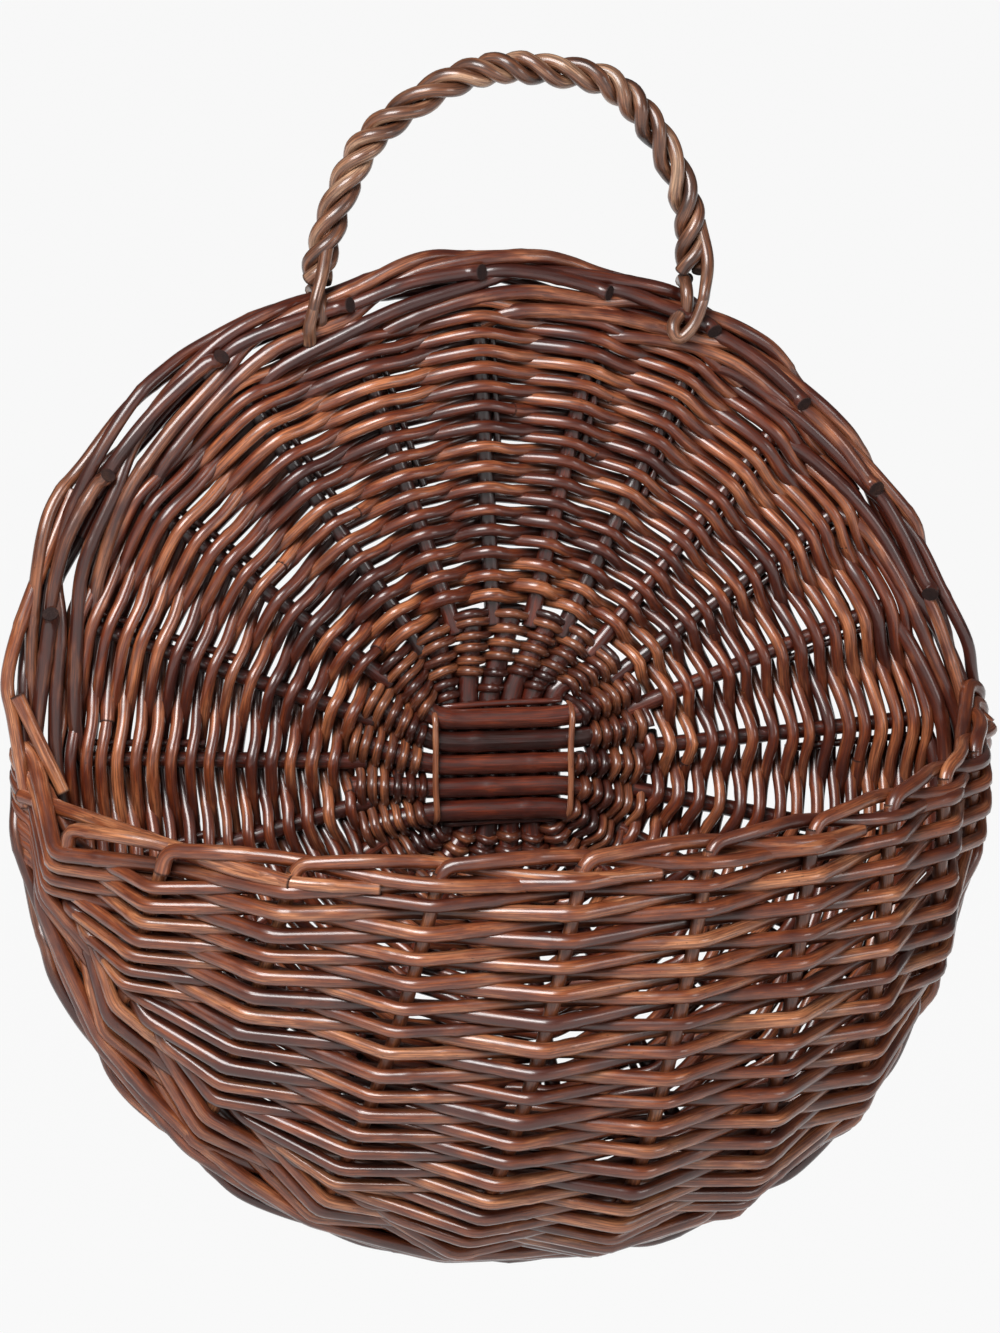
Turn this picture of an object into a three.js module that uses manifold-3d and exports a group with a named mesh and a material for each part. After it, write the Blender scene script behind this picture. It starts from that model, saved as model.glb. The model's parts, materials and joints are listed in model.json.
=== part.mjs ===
// Wall basket of round willow rods: a round woven back panel, a half-round woven pocket
// over its lower half, and a twisted handle whose ends turn round the rim.
// Millimetres, +Z up. The front faces -Y and the wall is on the +Y side. The origin is the
// point under the handle's crown that hangs on a wall hook, in the panel's middle plane.

import * as THREE from 'three';
import { mergeVertices } from 'three/addons/utils/BufferGeometryUtils.js';
import Module from 'manifold-3d';

const wasm = await Module();
wasm.setup();

// Driving dimensions of the back panel
const panelHalfWidth = 150;
const panelHalfHeight = 153.5;
const panelDepth = 14;
const clearance = 0.3;

// Rods that the panel is built on
const baseStickWidth = 5.7;
const stakeWidth = 4.5;
const acrossPitch = 6.9;
const uprightPitch = 6.3;
const slathMarginWidth = 2.55;
const bindingWidth = 2.2;
const stickEndRadius = 58;
const stakeStartRadius = 44.5;

// Rows of weaving on the panel
const innerWeaveEndRadius = 43;
const outerWeaveStartRadius = 51;
const weaveDepth = 9.2;
const innerWeaveDepth = 13.6;
const rowRidgeDepth = 10.8;
const rowValleyDepth = 6.2;
const rowsPerBand = 4;

// Border rods round the panel's edge
const sideBorderWidth = 7;
const outerBorderWidth = 6;
const loopRoomWidth = 5.9;

// The pocket over the lower half
const pocketDepth = 100;
const pocketInsetWidth = 3.5;
const pocketRidgeDepth = 12.4;
const pocketValleyDepth = 6.2;
const pocketBorderWidth = 5;
const borderSinkDepth = 0.6;
const stakeBendRadius = 4.5;

// The handle
const handleRiseHeight = 70.4;
const ropeWidth = 10;
const loopRodWidth = 3.6;
const handlePlayGap = 1.2;

// Angles of the spokes, seen from the front, turning left from the right-hand side
const upperSpokeDegrees = [4.1, 20.1, 34.9, 49, 63.4, 77.2, 92.9, 109, 125, 143.5, 160.5, 177.8];
const firstPocketDegrees = 194.7;
const pocketSpokeDegrees = 16.95;
const pocketStakeCount = 10;
const stickTurnDegrees = 6.9;
const handleFootDegrees = 23;
const halfTurnDegrees = 180;

// Shoulders of the rim: where each begins, stands full, leaves off and ends, and how far it
// stands out past a true round or falls short of it
const leftShoulderDegrees = [117, 132, 148, 178];
const rightShoulderDegrees = [2, 18, 44, 63];
const leftShoulderShare = 0.038;
const rightShoulderShare = -0.028;

// Depth of the weaving between two stakes, as a share of its depth at a stake
const middleReliefShare = 0.72;
const outerReliefShare = 0.42;
const pocketReliefShare = 0.8;

// Heights of the pocket's rim at its two ends and how far it dips between them, as shares of the
// panel's half height
const pocketRimLeftShare = -0.0521172638;
const pocketRimRightShare = 0.0781758958;
const pocketRimDipShare = 0.1107491857;

// Shape of the pocket: how round its section is at the left corner and from the middle on,
// where it fills out in between, and how far its stakes lean
const pocketLeftPower = 1.2;
const pocketRightPower = 2.3;
const pocketFillShares = [0.2, 0.6];
const pocketPlanPower = 1.1;
const pocketTopFirstDegrees = 21;
const pocketTopRangeDegrees = 140;
const pocketLeanDegrees = 9;
const bandEndShares = [0.06, 0.05, 0.04, 0.03];
const borderFrontShare = 0.94;

// Facets
const rodSides = 6;
const ropeSides = 8;
const pocketStations = 8;
const pocketColumns = 24;
const rowsPerPocketBand = 6;

const bindingCornerPower = 0.35;

// Sizes that follow
const radians = THREE.MathUtils.degToRad;
const stretch = panelHalfHeight / panelHalfWidth;
const pocketRimLeftHeight = panelHalfHeight * pocketRimLeftShare;
const pocketRimRightHeight = panelHalfHeight * pocketRimRightShare;
const pocketRimDipDepth = panelHalfHeight * pocketRimDipShare;
const outerBorderRadius = panelHalfWidth - outerBorderWidth / 2;
const outerBorderStart = panelHalfWidth - outerBorderWidth;
const sideBorderEnd = outerBorderStart - loopRoomWidth;
const sideBorderStart = sideBorderEnd - sideBorderWidth;
const panelBands = ['weave_middle', 'weave_outer', 'weave_edge'];
const weaveRoom = sideBorderStart - outerWeaveStartRadius;
const weaveBandWidth = weaveRoom / panelBands.length - clearance;
const sideBorderDepth = panelDepth / 2 - stakeWidth / 2 - clearance;
const bendRadius = (sideBorderEnd + outerBorderStart) / 2;
const pocketHalfWidth = panelHalfWidth - pocketInsetWidth;
const pocketFootDepth = panelDepth / 2 + clearance;
const pocketEndDepth = outerBorderWidth / 2 + 3 * clearance;
const slathOffset = (baseStickWidth + clearance) / 2;
const acrossHalfHeight = 2 * acrossPitch + baseStickWidth / 2;
const slathHalfWidth = 2.5 * uprightPitch + baseStickWidth / 2 + slathMarginWidth;
const bindingCornerShare = Math.SQRT1_2 ** bindingCornerPower;
const bindingHalfWidth = slathHalfWidth + bindingWidth / 2;
const bindingRoom = acrossHalfHeight + bindingWidth / 2 + clearance;
const bindingHalfHeight = bindingRoom / bindingCornerShare;
const bindingReach = bindingCornerShare * Math.hypot(bindingHalfWidth, bindingHalfHeight);
const innerWeaveStart = (bindingReach + bindingWidth / 2 + clearance) / Math.min(stretch, 1);
const handleHalfSpan = outerBorderRadius * Math.sin(radians(handleFootDegrees));
const hingeHeight = stretch * Math.sqrt(outerBorderRadius ** 2 - handleHalfSpan ** 2);
const hookHeight = hingeHeight + handleRiseHeight - ropeWidth / 2;

// Every spoke in order: the upper ones, then those that run on into the pocket
const spokeDegrees = [...upperSpokeDegrees];
for (let k = 0; k < pocketStakeCount; k += 1) {
  spokeDegrees.push(firstPocketDegrees + k * pocketSpokeDegrees);
}

// Angles of the facets round the panel: one at every spoke and one between each two
const facetDegrees = spokeDegrees.flatMap((degrees, k) => {
  const next = spokeDegrees[k + 1] ?? spokeDegrees[0] + 2 * halfTurnDegrees;
  return [degrees, (degrees + next) / 2];
});
const facetSpans = facetDegrees.slice(1).map((degrees, k) => degrees - facetDegrees[k]);
const facetShare = Math.cos(radians(Math.max(...facetSpans) / 2));
const stakeEndRadius = outerBorderStart * facetShare - clearance;

// How far the rim stands out past a true round at an angle, as a share of its radius
function shoulderShare(degrees) {
  const standing = ([start, full, leave, end]) => (
    THREE.MathUtils.smoothstep(degrees, start, full)
    - THREE.MathUtils.smoothstep(degrees, leave, end)
  );
  return leftShoulderShare * standing(leftShoulderDegrees)
    + rightShoulderShare * standing(rightShoulderDegrees);
}

// A point of the panel from its radius and angle, and its place in front of the middle
function onPanel(radius, degrees, y = 0) {
  const angle = radians(degrees);
  const reach = radius * (1 + shoulderShare(degrees) * (radius / panelHalfWidth) ** 2);
  return new THREE.Vector3(reach * Math.cos(angle), y, stretch * reach * Math.sin(angle));
}

// A route through given points, sampled exactly at them
class Route extends THREE.Curve {
  constructor(points) {
    super();
    this.points = points;
  }

  getPoint(share) {
    const last = this.points.length - 1;
    const place = THREE.MathUtils.clamp(share, 0, 1) * last;
    const index = Math.min(Math.floor(place), last - 1);
    return this.points[index].clone().lerp(this.points[index + 1], place - index);
  }

  getPointAt(share) {
    return this.getPoint(share);
  }

  getTangentAt(share) {
    return this.getTangent(share);
  }
}

// A rod of round section along points
function rodAlong(points, width, sides = rodSides) {
  const section = new THREE.Shape();
  section.absarc(0, 0, width / 2, 0, 2 * Math.PI);
  return new THREE.ExtrudeGeometry(section, {
    steps: points.length - 1,
    curveSegments: sides / 2,
    extrudePath: new Route(points),
  });
}

// A ring round the panel with a section given as radius and depth pairs. Its depth shrinks to
// the relief's share between the spokes.
function ringOf(outline, reliefShare = 1) {
  const positions = [];
  const triangles = [];
  facetDegrees.forEach((degrees, column) => {
    const share = column % 2 === 0 ? 1 : reliefShare;
    const next = (column + 1) % facetDegrees.length;
    outline.forEach(([radius, y], i) => {
      positions.push(...onPanel(radius, degrees, y * share).toArray());
      const after = (i + 1) % outline.length;
      const here = column * outline.length;
      const there = next * outline.length;
      triangles.push(here + i, here + after, there + after, here + i, there + after, there + i);
    });
  });
  const ring = new THREE.BufferGeometry();
  ring.setAttribute('position', new THREE.Float32BufferAttribute(positions, 3));
  ring.setIndex(triangles);
  return ring;
}

// A closed geometry as a solid that can be cut, with its faces turned out
function solidFrom(geometry) {
  const bare = new THREE.BufferGeometry();
  bare.setAttribute('position', geometry.getAttribute('position').clone());
  if (geometry.index) {
    bare.setIndex(geometry.index.clone());
  }
  const merged = mergeVertices(bare);
  const vertProperties = new Float32Array(merged.getAttribute('position').array);
  const triVerts = new Uint32Array(keptTriangles(merged));
  if (signedVolume(vertProperties, triVerts) < 0) {
    triVerts.reverse();
  }
  return new wasm.Manifold(new wasm.Mesh({ numProp: 3, vertProperties, triVerts }));
}

// The triangles of a merged geometry, without those whose corners fell together
function keptTriangles(geometry) {
  const index = geometry.index.array;
  const kept = [];
  for (let i = 0; i < index.length; i += 3) {
    const [a, b, c] = [index[i], index[i + 1], index[i + 2]];
    if (a !== b && b !== c && c !== a) {
      kept.push(a, b, c);
    }
  }
  return kept;
}

function signedVolume(positions, triangles) {
  const corners = [new THREE.Vector3(), new THREE.Vector3(), new THREE.Vector3()];
  let volume = 0;
  for (let i = 0; i < triangles.length; i += 3) {
    corners.forEach((corner, j) => corner.fromArray(positions, 3 * triangles[i + j]));
    volume += corners[0].dot(corners[1].clone().cross(corners[2])) / 6;
  }
  return volume;
}

function geometryFrom(solid) {
  const { vertProperties, triVerts } = solid.getMesh();
  const geometry = new THREE.BufferGeometry();
  geometry.setAttribute('position', new THREE.BufferAttribute(vertProperties, 3));
  geometry.setIndex(new THREE.BufferAttribute(triVerts, 1));
  return geometry;
}

// A geometry with rod-shaped tunnels cut through it
function withTunnels(geometry, tunnels) {
  let solid = solidFrom(geometry);
  for (const tunnel of tunnels) {
    solid = solid.subtract(solidFrom(tunnel));
  }
  return geometryFrom(solid);
}

// Finishes: stained and varnished willow, lighter on the handle
const finishes = {
  stick: { color: 0x4a2216, roughness: 0.42, metalness: 0 },
  panelWeave: { color: 0x5e3020, roughness: 0.4, metalness: 0 },
  border: { color: 0x6a3c28, roughness: 0.38, metalness: 0 },
  pocketWeave: { color: 0x7a4a32, roughness: 0.38, metalness: 0 },
  handle: { color: 0x8a5c40, roughness: 0.5, metalness: 0 },
};

const basket = new THREE.Group();

function addPiece(parent, name, geometry, finish) {
  const solid = geometryFrom(solidFrom(geometry));
  const mesh = new THREE.Mesh(solid, new THREE.MeshStandardMaterial(finishes[finish]));
  mesh.name = name;
  parent.add(mesh);
  return mesh;
}

// Base sticks: five run across in front of six uprights, crossed at the middle, and fan
// out to the spokeDegrees. Each ends beside a stake.
function baseStickPoints(spokeA, spokeB, crossing, depth) {
  const easedShare = 0.7;
  const nearA = crossing(1);
  const nearB = crossing(-1);
  const outerA = onPanel(stickEndRadius, spokeDegrees[spokeA] - stickTurnDegrees);
  const outerB = onPanel(stickEndRadius, spokeDegrees[spokeB] - stickTurnDegrees);
  const innerA = onPanel(stakeStartRadius, spokeDegrees[spokeA] - stickTurnDegrees);
  const innerB = onPanel(stakeStartRadius, spokeDegrees[spokeB] - stickTurnDegrees);
  const easedA = nearA.clone().add(innerA).divideScalar(2).setY(easedShare * depth);
  const easedB = nearB.clone().add(innerB).divideScalar(2).setY(easedShare * depth);
  return [outerA, innerA, easedA, nearA, nearB, easedB, innerB, outerB];
}

const rightSpokes = [2, 1, 0, 21, 20];
const leftSpokes = [9, 10, 11, 12, 13];
const topSpokes = [8, 7, 6, 5, 4, 3];
const bottomSpokes = [14, 15, 16, 17, 18, 19];

const stickRoutes = [];
rightSpokes.forEach((right, i) => {
  const height = acrossPitch * ((rightSpokes.length - 1) / 2 - i);
  const crossing = (side) => new THREE.Vector3(side * slathHalfWidth, -slathOffset, height);
  const points = baseStickPoints(right, leftSpokes[i], crossing, -slathOffset);
  stickRoutes.push({ name: `base_stick_across_${i + 1}`, points });
});
topSpokes.forEach((top, i) => {
  const place = uprightPitch * (i - (topSpokes.length - 1) / 2);
  const crossing = (side) => new THREE.Vector3(place, slathOffset, side * slathHalfWidth);
  const points = baseStickPoints(top, bottomSpokes[i], crossing, slathOffset);
  stickRoutes.push({ name: `base_stick_upright_${i + 1}`, points });
});
for (const { name, points } of stickRoutes) {
  addPiece(basket, name, rodAlong(points, baseStickWidth), 'stick');
}

// The thin rod that binds the crossing runs over the five at the sides and over the six at
// the top and bottom, dipping at the corners
function slathBinding() {
  const [turnSides, turnSteps] = [6, 32];
  const overAcross = -slathOffset - (baseStickWidth + bindingWidth) / 2 - clearance;
  const overUprights = slathOffset - (baseStickWidth + bindingWidth) / 2 - clearance;
  const ring = new THREE.TorusGeometry(bindingHalfWidth, bindingWidth / 2, turnSides, turnSteps);
  const position = ring.getAttribute('position');
  const nearZero = 1e-6;
  const squarer = (share) => (
    Math.abs(share) < nearZero ? 0 : Math.sign(share) * Math.abs(share) ** bindingCornerPower
  );
  for (let i = 0; i < position.count; i += 1) {
    const angle = Math.atan2(position.getY(i), position.getX(i));
    const out = Math.hypot(position.getX(i), position.getY(i)) - bindingHalfWidth;
    const [x, z] = [squarer(Math.cos(angle)), squarer(Math.sin(angle))];
    const forward = THREE.MathUtils.clamp(0.5 + 2 * Math.cos(2 * angle), 0, 1);
    const y = overUprights + (overAcross - overUprights) * forward + position.getZ(i);
    position.setXYZ(i, x * (bindingHalfWidth + out), y, z * (bindingHalfHeight + out));
  }
  return ring;
}
addPiece(basket, 'slath_binding', slathBinding(), 'stick');

// Side stakes: straight rods that start beside the base sticks and end under the rim's
// outer rod
const stakeRoutes = upperSpokeDegrees.map((degrees) => [
  onPanel(stakeStartRadius, degrees),
  onPanel(stakeEndRadius, degrees),
]);
stakeRoutes.forEach((points, i) => {
  const name = `panel_stake_${String(i + 1).padStart(2, '0')}`;
  addPiece(basket, name, rodAlong(points, stakeWidth), 'stick');
});

// The pocket's middle surface. across runs from 0 at its first stake to 1 at its last one,
// up runs from 0 at the panel's lower edge to 1 at the pocket's rim.
function pocketAngles(across) {
  const footFirst = firstPocketDegrees - halfTurnDegrees;
  const foot = footFirst + (pocketStakeCount - 1) * pocketSpokeDegrees * across;
  const lean = pocketLeanDegrees * Math.sin(Math.PI * across);
  const top = pocketTopFirstDegrees + pocketTopRangeDegrees * across + lean;
  return { foot, top };
}

// A point of the pocket's rim, from 0 degrees at its left end to 180 at its right one
function rimPoint(degrees) {
  const angle = radians(degrees);
  const bulge = Math.max(Math.sin(angle), 0);
  const tilt = (pocketRimRightHeight - pocketRimLeftHeight) * (degrees / halfTurnDegrees);
  return new THREE.Vector3(
    -pocketHalfWidth * Math.cos(angle),
    -pocketEndDepth - (pocketDepth - pocketEndDepth) * bulge ** pocketPlanPower,
    pocketRimLeftHeight + tilt - pocketRimDipDepth * bulge,
  );
}

// The level outward direction at the pocket's rim
function rimOut(degrees) {
  const step = 1;
  const ahead = rimPoint(Math.min(degrees + step, halfTurnDegrees));
  const along = ahead.sub(rimPoint(Math.max(degrees - step, 0)));
  return new THREE.Vector3(along.y, -along.x, 0).normalize();
}

// The section is nearly straight at the left corner. From the middle on it is a quarter of a
// rounded oblong: forward along the floor, then up the front.
function pocketPoint(across, up) {
  const { foot, top } = pocketAngles(across);
  const start = onPanel(bendRadius, foot + halfTurnDegrees, -pocketFootDepth);
  const end = rimPoint(top);
  const [along, left] = [Math.sin((Math.PI / 2) * up), Math.cos((Math.PI / 2) * up)];
  const fullness = THREE.MathUtils.smoothstep(across, ...pocketFillShares);
  const power = pocketLeftPower + (pocketRightPower - pocketLeftPower) * fullness;
  const reach = (along ** power + Math.max(left, 0) ** power) ** (-1 / power);
  const forward = reach * along;
  const rise = 1 - reach * left;
  return new THREE.Vector3(
    start.x + (end.x - start.x) * rise,
    start.y + (end.y - start.y) * forward,
    start.z + (end.z - start.z) * rise,
  );
}

// The pocket surface's outward direction
function pocketOut(across, up) {
  const step = 0.01;
  const [low, high] = [Math.max(up - step, 0), Math.min(up + step, 1)];
  const alongRow = pocketPoint(across + step, up).sub(pocketPoint(across - step, up));
  const alongStake = pocketPoint(across, high).sub(pocketPoint(across, low));
  return alongRow.cross(alongStake).normalize();
}

// Pocket stakes: from the panel's weaving they turn forward through the border and rise
// to the pocket's rim
function pocketStakePoints(index) {
  const across = index / (pocketStakeCount - 1);
  const degrees = firstPocketDegrees + index * pocketSpokeDegrees;
  const points = [onPanel(stakeStartRadius, degrees)];
  const bendSteps = 3;
  for (let i = 0; i <= bendSteps; i += 1) {
    const turn = (Math.PI / 2) * (i / bendSteps);
    const radius = bendRadius - stakeBendRadius * (1 - Math.sin(turn));
    points.push(onPanel(radius, degrees, -stakeBendRadius * (1 - Math.cos(turn))));
  }
  for (let i = 0; i <= pocketStations; i += 1) {
    points.push(pocketPoint(across, i / pocketStations));
  }
  return points;
}

// A leaning stake is cut off lower, so that all of its end stays below the rim
function cutAtRim(points) {
  const end = points.at(-1);
  const slope = end.clone().sub(points.at(-2)).normalize();
  const back = (stakeWidth / 2) * Math.hypot(slope.x, slope.y) / slope.z;
  return [...points.slice(0, -1), end.clone().addScaledVector(slope, -back)];
}
const pocketStakeRoutes = [];
for (let i = 0; i < pocketStakeCount; i += 1) {
  const points = pocketStakePoints(i);
  pocketStakeRoutes.push(points);
  const name = `pocket_stake_${String(i + 1).padStart(2, '0')}`;
  addPiece(basket, name, rodAlong(cutAtRim(points), stakeWidth), 'stick');
}

// Tunnels for the sticks and stakes, a clearance wider than the rods
const tunnelWidth = (width) => width + 2 * clearance;
const stickTunnels = stickRoutes.map(({ points }) => {
  const longer = points.slice(1, -1);
  longer.unshift(points[0].clone().lerp(points[1], -clearance / stickEndRadius));
  longer.push(points.at(-1).clone().lerp(points.at(-2), -clearance / stickEndRadius));
  return rodAlong(longer, tunnelWidth(baseStickWidth));
});
const panelStakeTunnels = stakeRoutes.map((points) => rodAlong(points, tunnelWidth(stakeWidth)));
const pocketStakeTunnels = pocketStakeRoutes.map((points) => {
  return rodAlong(points, tunnelWidth(stakeWidth));
});

// Inner weaving: fine paired rows round the crossing, thicker where the sticks cross
const innerWeave = ringOf([
  [innerWeaveStart, -innerWeaveDepth / 2],
  [innerWeaveEndRadius, -weaveDepth / 2],
  [innerWeaveEndRadius, weaveDepth / 2],
  [innerWeaveStart, innerWeaveDepth / 2],
]);
addPiece(basket, 'weave_inner', withTunnels(innerWeave, stickTunnels), 'panelWeave');

// A band's section: a ridge for every row of weaving, with valleys between them
function rowOutline(start, ridge, valley) {
  const front = [];
  for (let i = 0; i <= 2 * rowsPerBand; i += 1) {
    const depth = i % 2 === 0 ? valley : ridge;
    front.push([start + weaveBandWidth * (i / (2 * rowsPerBand)), depth / 2]);
  }
  const back = front.map(([radius, y]) => [radius, -y]).reverse();
  return [...front, ...back];
}

// Outer weaving: three bands of paired rows up to the border. The first one is fuller, because
// the base sticks end in it.
const panelTunnels = [...stickTunnels, ...panelStakeTunnels, ...pocketStakeTunnels];
panelBands.forEach((name, i) => {
  const start = outerWeaveStartRadius + i * (weaveBandWidth + clearance);
  const outline = i === 0
    ? rowOutline(start, weaveDepth, weaveDepth)
    : rowOutline(start, rowRidgeDepth, rowValleyDepth);
  const band = ringOf(outline, i === 0 ? middleReliefShare : outerReliefShare);
  const reaching = i === 0 ? panelTunnels : [...panelStakeTunnels, ...pocketStakeTunnels];
  addPiece(basket, name, withTunnels(band, reaching), 'panelWeave');
});

// Border rods: a flat pair of rods in front of the stakes and behind them, and a round one
// outside their ends. The one behind lies flat against the wall.
function sideBorder(side) {
  const outerFace = side * panelDepth / 2;
  const innerFace = outerFace - side * sideBorderDepth;
  const middle = (outerFace + innerFace) / 2;
  const round = sideBorderDepth / 3;
  return ringOf([
    [sideBorderStart, middle],
    [sideBorderStart + round, innerFace],
    [sideBorderEnd - round, innerFace],
    [sideBorderEnd, middle],
    [sideBorderEnd - round, outerFace],
    [sideBorderStart + round, outerFace],
  ]);
}
addPiece(basket, 'rim_border_rear', sideBorder(1), 'border');
addPiece(basket, 'rim_border_front', sideBorder(-1), 'border');

const outerOutline = [];
for (let i = 0; i < ropeSides; i += 1) {
  const angle = 2 * Math.PI * (i / ropeSides);
  const out = outerBorderWidth / 2;
  outerOutline.push([outerBorderRadius + out * Math.cos(angle), out * Math.sin(angle)]);
}
addPiece(basket, 'rim_border_outer', ringOf(outerOutline), 'border');

// Pocket weaving: bands of rows that run from the left corner to the right one, a thick
// sheet on the pocket's middle surface with tunnels for the stakes. Each row bulges out where it
// passes in front of a stake and in where it passes behind. The top band ends just under the
// border.
const borderDrop = pocketBorderWidth / 2 + borderSinkDepth + 2 * clearance;

// Places along a band's rows: one at every stake, one between each two and one at each end
function bandPlaces(endShare) {
  const places = [-endShare];
  const last = 2 * (pocketStakeCount - 1);
  for (let place = 0; place <= last; place += 1) {
    places.push(place / last);
  }
  places.push(1 + endShare);
  return places;
}

// How far a row's face stands off the middle surface, outside the pocket or inside it
function rowReach(place, row, outside) {
  const atStake = place % 2 === 1;
  if (!atStake) {
    return pocketReliefShare * pocketValleyDepth / 2;
  }
  const inFront = ((place - 1) / 2 + row) % 2 === 0;
  return (inFront === outside ? pocketRidgeDepth : pocketValleyDepth) / 2;
}

// A point of the middle surface as the stakes follow it, in straight stretches
function stretchPoint(across, up) {
  const station = Math.min(Math.floor(up * pocketStations), pocketStations - 1);
  const low = pocketPoint(across, station / pocketStations);
  return low.lerp(pocketPoint(across, (station + 1) / pocketStations), up * pocketStations - station);
}

// Where the weaving ends under the border
function weaveTop(across) {
  const rise = pocketPoint(across, 1).z - pocketPoint(across, 1 - 1 / pocketStations).z;
  return 1 - borderDrop / (rise * pocketStations);
}

function pocketBand(index) {
  const count = bandEndShares.length;
  const isTop = index === count - 1;
  const places = bandPlaces(bandEndShares[index]);
  const positions = [];
  for (const side of [1, -1]) {
    for (let row = 0; row <= rowsPerPocketBand; row += 1) {
      places.forEach((across, place) => {
        const length = pocketPoint(across, 1).distanceTo(pocketPoint(across, 0));
        const start = index / count + (index > 0 ? clearance / length : 0);
        const end = isTop ? weaveTop(across) : (index + 1) / count;
        const up = start + (end - start) * (row / rowsPerPocketBand);
        const atBorder = isTop && row === rowsPerPocketBand;
        const out = atBorder ? rimOut(pocketAngles(across).top) : pocketOut(across, up);
        const reach = side * rowReach(place, row, side > 0);
        const point = stretchPoint(across, up).addScaledVector(out, reach);
        point.y = Math.min(point.y, -pocketFootDepth);
        point.z = Math.min(point.z, stretchPoint(across, weaveTop(across)).z);
        positions.push(...point.toArray());
      });
    }
  }
  return thickSheet(positions, rowsPerPocketBand + 1, places.length);
}

// A closed sheet from two layers of a grid of points
function thickSheet(positions, rows, columns) {
  const triangles = [];
  const at = (layer, row, column) => (layer * rows + row) * columns + column;
  const quad = (a, b, c, d) => triangles.push(a, b, c, a, c, d);
  for (let row = 0; row + 1 < rows; row += 1) {
    for (let column = 0; column + 1 < columns; column += 1) {
      quad(at(0, row, column), at(0, row, column + 1),
        at(0, row + 1, column + 1), at(0, row + 1, column));
      quad(at(1, row, column), at(1, row + 1, column),
        at(1, row + 1, column + 1), at(1, row, column + 1));
    }
  }
  for (let column = 0; column + 1 < columns; column += 1) {
    quad(at(0, 0, column), at(1, 0, column), at(1, 0, column + 1), at(0, 0, column + 1));
    quad(at(0, rows - 1, column), at(0, rows - 1, column + 1),
      at(1, rows - 1, column + 1), at(1, rows - 1, column));
  }
  for (let row = 0; row + 1 < rows; row += 1) {
    quad(at(0, row, 0), at(0, row + 1, 0), at(1, row + 1, 0), at(1, row, 0));
    quad(at(0, row, columns - 1), at(1, row, columns - 1),
      at(1, row + 1, columns - 1), at(0, row + 1, columns - 1));
  }
  const geometry = new THREE.BufferGeometry();
  geometry.setAttribute('position', new THREE.Float32BufferAttribute(positions, 3));
  geometry.setIndex(triangles);
  return geometry;
}

const bandNames = ['foot', 'floor', 'belly', 'top'];
bandNames.forEach((name, i) => {
  const band = withTunnels(pocketBand(i), pocketStakeTunnels);
  addPiece(basket, `pocket_weave_${name}`, band, 'pocketWeave');
});

// Pocket border: one rod runs in front of the stakes, one behind them and one on their ends
function pocketBorderPoints(side, rise, spanShare) {
  const off = side * ((stakeWidth + pocketBorderWidth) / 2 + clearance);
  const points = [];
  for (let column = 0; column <= pocketColumns; column += 1) {
    const share = (column / pocketColumns - 0.5) * spanShare + 0.5;
    const point = rimPoint(halfTurnDegrees * share).addScaledVector(rimOut(halfTurnDegrees * share), off);
    points.push(point.setZ(point.z + rise));
  }
  return points;
}
const borderRods = {
  front: pocketBorderPoints(1, -borderSinkDepth, borderFrontShare),
  back: pocketBorderPoints(-1, -borderSinkDepth, 1),
  top: pocketBorderPoints(0, pocketBorderWidth / 2 + clearance, 1),
};
for (const [name, points] of Object.entries(borderRods)) {
  addPiece(basket, `pocket_border_${name}`, rodAlong(points, pocketBorderWidth), 'border');
}

// Handle: a twisted rope of willow in an arch, held by a loop at each end that turns round
// the rim's outer rod. It tilts about the line through both loops.
const handle = new THREE.Group();
const archShares = [
  [-0.97, 0.12], [-0.95, 0.2], [-0.9, 0.365], [-0.79, 0.57], [-0.635, 0.752], [-0.3, 0.94],
  [0, 1], [0.3, 0.99], [0.56, 0.936], [0.774, 0.773], [0.906, 0.6], [0.985, 0.43],
  [1.01, 0.25], [1, 0.12],
];
const loopRadius = outerBorderWidth / 2 + handlePlayGap + loopRodWidth / 2;
const ropeStart = (loopRadius + loopRodWidth / 2 + clearance) / handleRiseHeight;
const archPoints = archShares.map(([across, rise], i) => {
  const atFoot = i === 0 || i === archShares.length - 1;
  const height = atFoot ? ropeStart : rise;
  return new THREE.Vector3(across * handleHalfSpan, 0, hingeHeight + height * handleRiseHeight);
});
const archSteps = 24;
const archCurve = new THREE.CatmullRomCurve3(archPoints, false, 'centripetal');
const rope = rodAlong(archCurve.getPoints(archSteps), ropeWidth, ropeSides);
addPiece(handle, 'handle_rope', rope, 'handle');

for (const [name, side] of [['handle_loop_left', -1], ['handle_loop_right', 1]]) {
  const [loopSides, loopSteps] = [6, 20];
  const loop = new THREE.TorusGeometry(loopRadius, loopRodWidth / 2, loopSides, loopSteps);
  const mesh = addPiece(handle, name, loop, 'handle');
  mesh.rotation.y = Math.PI / 2;
  mesh.position.set(side * handleHalfSpan, 0, hingeHeight);
}

const wallBasket = new THREE.Group();
wallBasket.add(basket, handle);
basket.position.z = -hookHeight;
handle.position.z = -hookHeight;

export default wallBasket;
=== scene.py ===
import json
import math

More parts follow.
